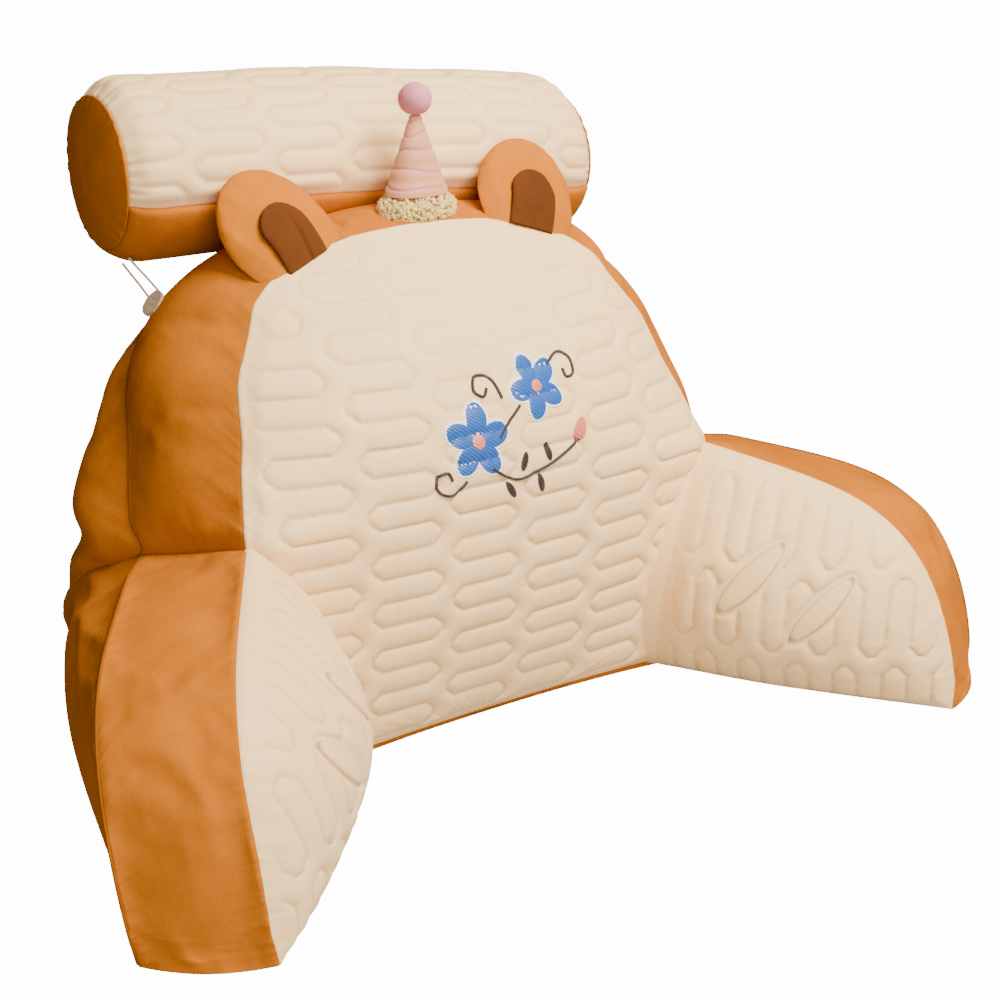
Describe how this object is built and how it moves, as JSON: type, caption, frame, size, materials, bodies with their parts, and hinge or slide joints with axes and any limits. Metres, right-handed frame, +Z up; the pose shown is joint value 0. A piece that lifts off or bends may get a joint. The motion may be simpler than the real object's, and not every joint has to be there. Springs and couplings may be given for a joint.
{
  "type": "backrest pillow with arms and a neck roll",
  "caption": "Filled backrest pillow with splayed arms, a quilted front, a buttoned-on neck roll, two ears and a small pointed hat.",
  "frame": {"origin": "middle of the back cushion's flat underside, on the centre plane", "axes": "+X to the right of someone facing the quilted front, -Y towards the sitter, +Z up"},
  "size_m": [0.9002, 0.5624, 0.5585],
  "materials": {
    "orange_velour": "short-pile velour",
    "cream_quilting": "quilted satin-weave cotton",
    "leaf_cloth": "smooth satin-weave cotton",
    "brown_velour": "short-pile velour",
    "fleece": "curled fleece",
    "pink_cloth": "satin cloth with gathered folds",
    "rose_velour": "short-pile velour",
    "button_resin": "satin polished resin",
    "loop_elastic": "round elastic cord"
  },
  "bodies": {
    "root": {"back_cushion": "orange_velour", "arm_left": "orange_velour", "arm_right": "orange_velour", "back_panel": "cream_quilting", "arm_panel_left": "cream_quilting", "arm_panel_right": "cream_quilting", "leaf_lower_left": "leaf_cloth", "leaf_upper_left": "leaf_cloth", "leaf_lower_right": "leaf_cloth", "leaf_upper_right": "leaf_cloth", "neck_roll": "cream_quilting", "roll_underside": "orange_velour", "roll_end_left": "orange_velour", "roll_end_right": "orange_velour", "ear_left": "orange_velour", "ear_right": "orange_velour", "ear_patch_left": "brown_velour", "ear_patch_right": "brown_velour", "hat_brim": "fleece", "hat_cone": "pink_cloth", "hat_pompom": "rose_velour", "button_left": "button_resin", "button_right": "button_resin", "loop_left": "loop_elastic", "loop_right": "loop_elastic"}
  },
  "joints": []
}
